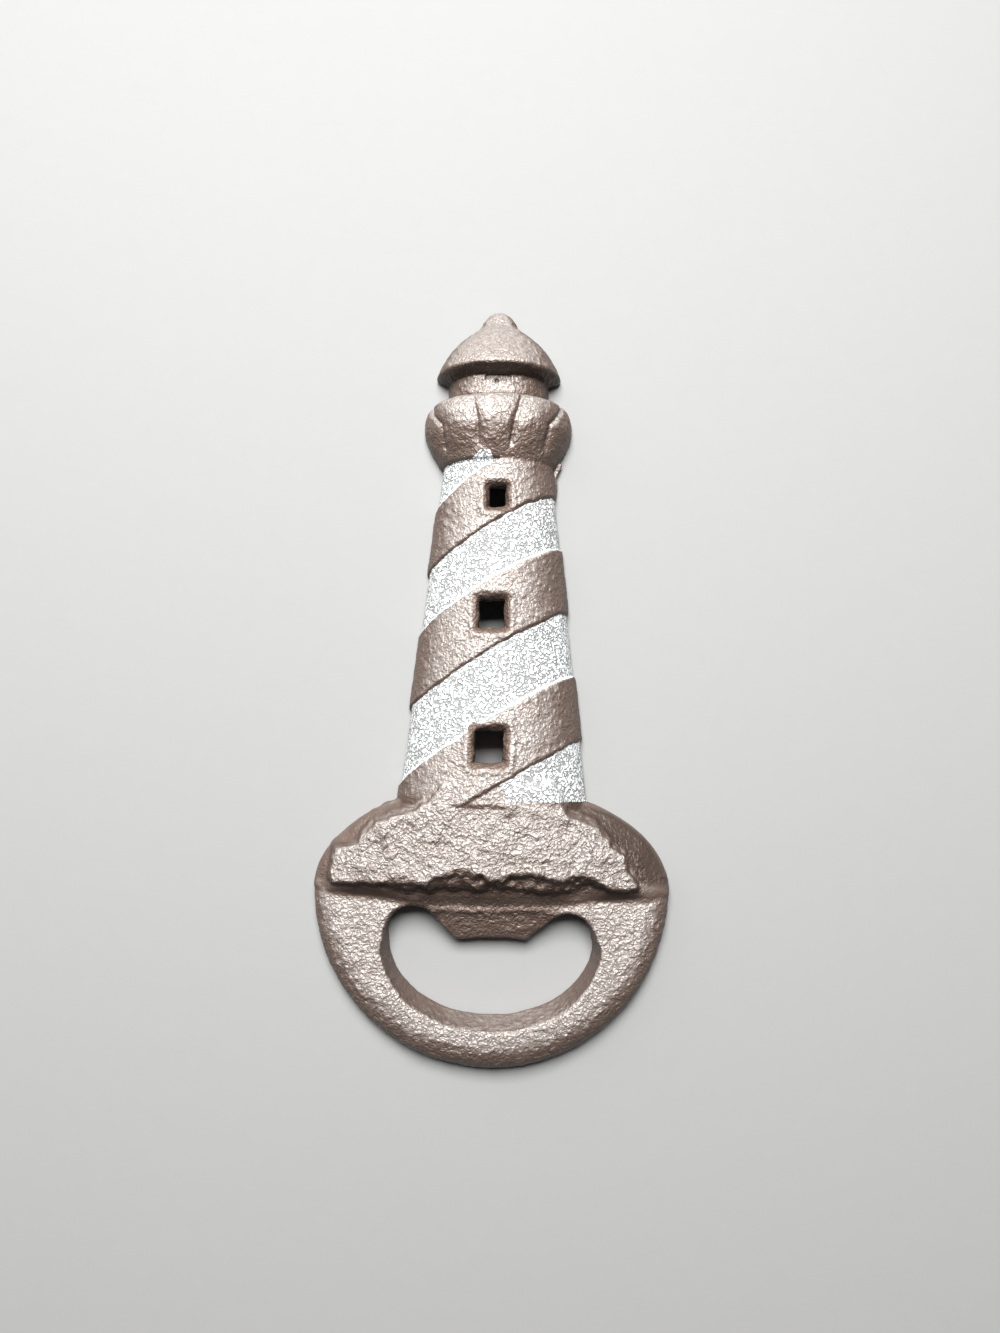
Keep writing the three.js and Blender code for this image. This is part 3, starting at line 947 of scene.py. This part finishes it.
def rock_face(points):
    """The broken face between its foot and its brow."""
    x, y = points[:, 0], points[:, 1]
    foot = np.interp(x, *zip(*FACE_FOOT))
    brow = np.interp(x, *zip(*BROW))
    return ease(-0.5, 0.3, y - foot) * ease(0.2, -0.5, y - brow)


def lip_front(points):
    """Painted shade on the slope from the foot of the face down to the lip, stronger near the face."""
    x, y, z = points.T
    upper = 0.12 + 0.5 * ease(28.3, 30.3, y)
    return upper * ease(14.5, 11.5, np.abs(x)) * ease(33, 32, y) * ease(20, 22, y) * ease(3, 4, z)


def painted_light_on(points, normals):
    """Painted light and shade: 1 fully covered with bright flakes as painted light, 0 none, below 0
    painted shade.
    """
    y = points[:, 1]
    facing = normals @ np.array(PAINTED_LIGHT_FROM, dtype=np.float32)
    wear_and_flank_shade, walls = flank_shade(points), window_wall(points)
    # painted light: faces turned toward the light direction get the bright flakes; the flanks lose most
    # of them as painted shade
    painted_light = ease(0.56, 0.95, facing) * (1 - 0.7 * wear_and_flank_shade)
    face = ease(31.5, 33, y) * ease(40, 38, y)
    # painted shade: the flakes are taken off the rock's broken face and the window walls
    painted_light = painted_light * (1 - 0.7 * np.maximum(face * rock_face(points), walls))
    # painted shade on faces turned away from the light, deeper on the rock's face
    painted_light = painted_light - (0.25 + 0.12 * face) * ease(0.55, 0.2, facing)
    # painted shade in the hollow at the face's foot, on the slope down to the lip and on the window
    # walls
    painted_light = painted_light - 0.5 * face_foot(points) - lip_front(points) - 0.3 * walls
    # painted shade on the rock's flanks, and on the top works from the gallery's rim up, darkened to
    # even out the stronger key light there
    return painted_light - 0.3 * wear_and_flank_shade - 0.2 * ease(LANTERN_TOP - 6, LANTERN_TOP - 4, y)


# ---- operators ----


class OPENER_OT_casting(bpy.types.Operator):
    """Pour the whole casting as one fine skin with its sand-cast grain"""

    bl_idname = "opener.casting"
    bl_label = "Pour the casting"

    def execute(self, context):
        casting = context.scene.opener_casting
        step = SKIN_STEP * 1
        reach = PLATE["half"] + 1
        start = (-reach + 0.013, -1.017, -1.021)
        stop = (reach, TIP + 1.2, 14.6)
        x, y, z = (np.arange(a, b, step, dtype=np.float32) for a, b in zip(start, stop))
        x, y, z = x[:, None, None], y[None, :, None], z[None, None, :]
        field = unpinched(casting_distance(x, y, z, casting))
        points, faces = skin_of(field, start, step)
        mesh = plain_mesh("casting", (points + [0, FOOT, 0]) * MM, faces)
        store(mesh, "rough", roughness_of_casting(points))
        paint = context.scene.opener_paint
        poured["bronze"] = bronze_paint(paint)
        poured["white"] = white_paint(paint)
        grained = with_nodes(
            mesh, grain_tree(), Grain_Depth=casting.grain_depth, Grain_Size=casting.grain_size,
            Lump_Depth=casting.grain_depth * 0.8, Lump_Size=casting.grain_size * 3.2,
            Finish=poured["bronze"],
        )
        points, faces, normals = read_mesh(grained)
        points[:, 2] = np.maximum(points[:, 2], 0)
        points = points / MM - [0, FOOT, 0]
        rough = roughness_of_casting(points)
        # painted light and shade for each point, from its normal and the shade masks
        painted_light = painted_light_on(points, normals)
        poured["skin"] = (points, faces, np.column_stack([normals, rough, painted_light]))
        return {"FINISHED"}


def region(name, *limits):
    """Cuts one named region from the poured skin and closes each cut.

    A limit is a function of the points, positive inside, and one that lays its cut out flat.
    """
    if "skin" not in poured:
        raise RuntimeError("pour the casting first")
    points, faces, extra = poured["skin"]
    for keep, flat in limits:
        points, faces, extra = part_of(points, faces, extra, keep(points))
        faces = capped(points, faces, flat)
    mesh = plain_mesh(name, (points + [0, FOOT, 0]) * MM, faces)
    for column, label in ((3, "rough"), (4, "painted_light")):
        store(mesh, label, extra[:, column])
    return placed(name, mesh, poured["bronze"], "bronze_paint", name)


def across(p):
    """Lays out a level cut, x by z."""
    return np.ascontiguousarray(p[:, [0, 2]], dtype=float)


def above(height):
    """A limit that keeps what is higher."""
    return lambda p: p[:, 1] - height, across


def below(height):
    """A limit that keeps what is lower."""
    return lambda p: height - p[:, 1], across


class OPENER_OT_ring(bpy.types.Operator):
    """Part off the opener ring and the lip that catches the cap"""

    bl_idname = "opener.ring"
    bl_label = "Ring and lip"

    def execute(self, context):
        wide = LIP["half"] + 5.5

        # The lip is what stands above the mouth, between its lobes and under its own root.
        def lip(p):
            return np.minimum(LIP_TOP - p[:, 1], np.minimum(p[:, 1] - 18.0, wide - np.abs(p[:, 0])))

        def round_lip(p):
            run = np.clip(p[:, 0], -wide, wide) * 2 + np.sign(p[:, 0]) * (LIP_TOP - p[:, 1])
            return np.column_stack([run, p[:, 2]]).astype(float)

        region("opener_ring", below(RING_TOP), (lambda p: -lip(p), round_lip))
        region("cap_lip", (lip, round_lip))
        return {"FINISHED"}


class OPENER_OT_rock(bpy.types.Operator):
    """Part off the rock that the lighthouse stands on"""

    bl_idname = "opener.rock"
    bl_label = "Rock"

    def execute(self, context):
        region("rock_base", above(RING_TOP), below(ROCK_TOP))
        return {"FINISHED"}


class OPENER_OT_tower(bpy.types.Operator):
    """Part off the tower with its raised bands and windows"""

    bl_idname = "opener.tower"
    bl_label = "Tower"

    def execute(self, context):
        region("tower_wall", above(ROCK_TOP), below(TOWER_TOP))
        return {"FINISHED"}


class OPENER_OT_top_works(bpy.types.Operator):
    """Part off the gallery, the lantern room, the roof and the finial"""

    bl_idname = "opener.top_works"
    bl_label = "Gallery to finial"

    def execute(self, context):
        region("gallery", above(TOWER_TOP), below(GALLERY_TOP))
        region("lantern_room", above(GALLERY_TOP), below(LANTERN_TOP))
        region("roof", above(LANTERN_TOP), below(ROOF_TOP))
        region("finial", above(ROOF_TOP))
        return {"FINISHED"}


def paint_film(name, points, faces, normals, edge, thickness):
    """A closed film of paint over an open patch of the casting."""
    top = points + normals * (thickness * 0.6)
    bottom = points - normals * (thickness * 0.4)
    count = len(points)
    sides = sides_of(faces)
    key = np.sort(sides, axis=1)
    _, first, times = np.unique(key, axis=0, return_index=True, return_counts=True)
    rim = sides[first[times == 1]]
    skirt = np.concatenate([
        np.stack([rim[:, 1], rim[:, 0], rim[:, 0] + count], 1),
        np.stack([rim[:, 1], rim[:, 0] + count, rim[:, 1] + count], 1),
    ])
    all_faces = np.concatenate([faces, faces[:, ::-1] + count, skirt])
    mesh = plain_mesh(name, np.concatenate([top, bottom]), all_faces)
    store(mesh, "edge", np.concatenate([edge, edge]))
    return mesh


class OPENER_OT_stripes(bpy.types.Operator):
    """Paint the four white stripes on the low ground of the tower"""

    bl_idname = "opener.stripes"
    bl_label = "White stripes"

    def execute(self, context):
        paint = context.scene.opener_paint
        points, faces, extra = poured["skin"]
        x, y, z = points.T
        half, bulge = tower_size(y)
        outer = oval_gap(x, z, half, bulge)
        rim = GALLERY[0][0]
        on_front = np.minimum(np.where(y > rim - 0.5, 1.0, outer + 1.3), window_gap(x, y) - 0.1)
        on_front = np.minimum(on_front, z - 0.75)
        smear = 1.4 * ease(-5.2, -3.2, x) * ease(-0.8, -1.6, x)
        on_front = np.minimum(on_front, np.minimum(rim - 0.1 + smear - y, y - ROCK_TOP - 0.25))
        base = wound(x, y, z) + wander(x, y, z)
        ragged = 0.22 * lattice(x, y, z, 0.8, 31)
        for name, (low, high) in STRIPES.items():
            inside = np.minimum(np.minimum(base - low + 0.1, high - 0.25 - base) + ragged, on_front)
            if name == "white_stripe_1":
                inside = np.minimum(inside, -0.9 - x + ragged)
            if name == "white_stripe_4":
                wear_and_flank_shade = 3.2 - 0.5 * (y - ROCK_TOP) + 1.1 * lattice(x, y, 0, 1.6, 33)
                inside = np.minimum(inside, x - wear_and_flank_shade + ragged)
            patch, patch_faces, carried = part_of(points, faces, extra, inside)
            middle = wound(*patch.T)
            edge = np.clip(np.minimum(middle - low, high - middle), 0, 3)
            place = (patch + [0, FOOT, 0]) * MM
            mesh = paint_film(name, place, patch_faces, carried[:, :3], edge, paint.thickness)
            placed(name, mesh, poured["white"], "white_paint", name)
        return {"FINISHED"}


class OPENER_OT_stage(bpy.types.Operator):
    """Set the floor, the soft lights and the camera"""

    bl_idname = "opener.stage"
    bl_label = "Stage"

    def execute(self, context):
        scene = context.scene
        stage = scene.opener_stage
        mesh = bpy.data.meshes.new("studio_floor")
        signs = ((-1, -1), (1, -1), (1, 1), (-1, 1))
        corners = [(a * FLOOR_HALF, b * FLOOR_HALF, 0) for a, b in signs]
        mesh.from_pydata(corners, [], [(0, 1, 2, 3)])
        mesh.materials.append(floor_finish(stage))
        floor = bpy.data.objects.new("studio_floor", mesh)
        floor.location.z = CAD_BOX[0][2] - 0.0001
        scene.collection.objects.link(floor)
        world = bpy.data.worlds.new("studio")
        world.use_nodes = True
        background = world.node_tree.nodes["Background"]
        background.inputs["Color"].default_value = SURROUND
        background.inputs["Strength"].default_value = stage.world
        scene.world = world
        scene.view_settings.view_transform = "Standard"
        self.soft_light("key", KEY_PLACE, KEY_SIZE, stage.key_power)
        self.soft_light("fill", FILL_PLACE, FILL_SIZE, stage.fill_power)
        self.camera(scene, stage)
        return {"FINISHED"}

    def soft_light(self, name, place, size, power):
        data = bpy.data.lights.new(name, "AREA")
        data.shape = "SQUARE"
        data.size = size
        data.energy = power
        light = bpy.data.objects.new(name, data)
        light.location = place
        light.rotation_euler = (-Vector(place)).to_track_quat("-Z", "Y").to_euler()
        bpy.context.scene.collection.objects.link(light)

    def camera(self, scene, stage):
        """Nearly straight down over the middle of the opener."""
        data = bpy.data.cameras.new("camera")
        data.sensor_width = 36
        data.lens = stage.lens / MM
        data.clip_start = 0.005
        camera = bpy.data.objects.new("camera", data)
        target = Vector(VIEW_CENTRE)
        up = Vector((-math.sin(stage.roll), math.cos(stage.roll), 0))
        back = Vector((0, 0, 1)) * math.cos(stage.tilt) - up * math.sin(stage.tilt)
        right = up.cross(back).normalized()
        turned = Matrix((right, back.cross(right), back)).transposed().to_4x4()
        camera.matrix_world = Matrix.Translation(target + back * stage.distance) @ turned
        scene.collection.objects.link(camera)
        scene.camera = camera


class OPENER_PT_panel(bpy.types.Panel):
    """Lists the steps that build the opener"""

    bl_label = "Lighthouse Bottle Opener"
    bl_idname = "OPENER_PT_panel"
    bl_space_type = "VIEW_3D"
    bl_region_type = "UI"
    bl_category = "Opener"

    def draw(self, context):
        scene = context.scene
        for settings in (scene.opener_casting, scene.opener_paint, scene.opener_stage):
            box = self.layout.box()
            for name in settings.__annotations__:
                box.prop(settings, name)
        for step in STEPS:
            self.layout.operator(step.bl_idname)


STEPS = (
    OPENER_OT_casting,
    OPENER_OT_ring,
    OPENER_OT_rock,
    OPENER_OT_tower,
    OPENER_OT_top_works,
    OPENER_OT_stripes,
    OPENER_OT_stage,
)
GROUPS = (OpenerCastingSettings, OpenerPaintSettings, OpenerStageSettings)


def register():
    for kind in GROUPS + STEPS + (OPENER_PT_panel,):
        bpy.utils.register_class(kind)
    bpy.types.Scene.opener_casting = bpy.props.PointerProperty(type=OpenerCastingSettings)
    bpy.types.Scene.opener_paint = bpy.props.PointerProperty(type=OpenerPaintSettings)
    bpy.types.Scene.opener_stage = bpy.props.PointerProperty(type=OpenerStageSettings)


def unregister():
    del bpy.types.Scene.opener_casting
    del bpy.types.Scene.opener_paint
    del bpy.types.Scene.opener_stage
    for kind in reversed(GROUPS + STEPS + (OPENER_PT_panel,)):
        bpy.utils.unregister_class(kind)


def main():
    register()
    bpy.ops.opener.casting()
    bpy.ops.opener.ring()
    bpy.ops.opener.rock()
    bpy.ops.opener.tower()
    bpy.ops.opener.top_works()
    bpy.ops.opener.stripes()
    bpy.ops.opener.stage()


if __name__ == "__main__":
    main()
